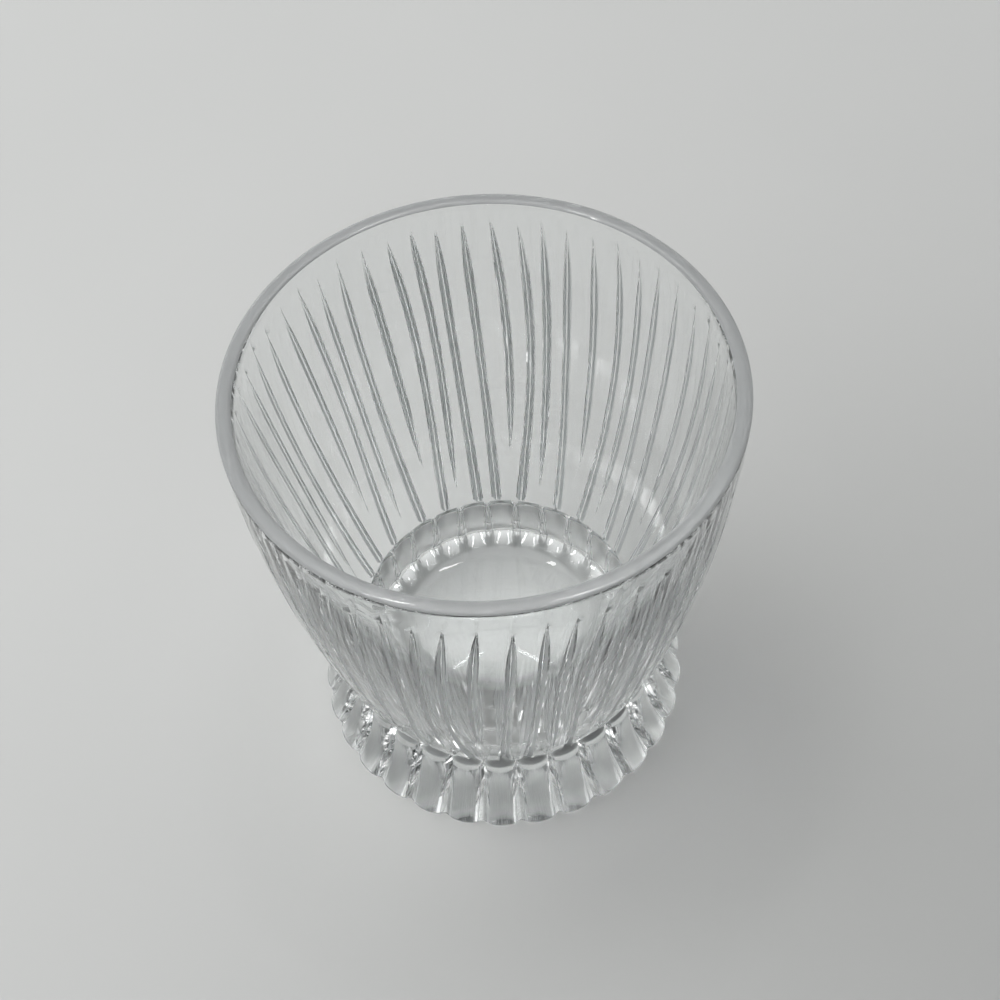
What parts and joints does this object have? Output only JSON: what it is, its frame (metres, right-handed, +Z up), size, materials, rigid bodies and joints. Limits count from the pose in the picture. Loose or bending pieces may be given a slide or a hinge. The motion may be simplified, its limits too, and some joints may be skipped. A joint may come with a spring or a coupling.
{
  "type": "rocks glass",
  "caption": "Footed tumbler of clear cut glass for short drinks, with upright tapered cuts on a flared bowl and a ribbed, scalloped foot.",
  "frame": {"origin": "on the table under the middle of the foot", "axes": "+Z up along the glass's axis, towards the rim; +Y away from the picture's camera"},
  "size_m": [0.088, 0.088, 0.097],
  "materials": {
    "bowl_glass": "clear, polished, with bright cuts",
    "foot_glass": "clear, polished, with bright ribs"
  },
  "bodies": {
    "root": {"bowl": "bowl_glass", "foot": "foot_glass"}
  },
  "joints": []
}
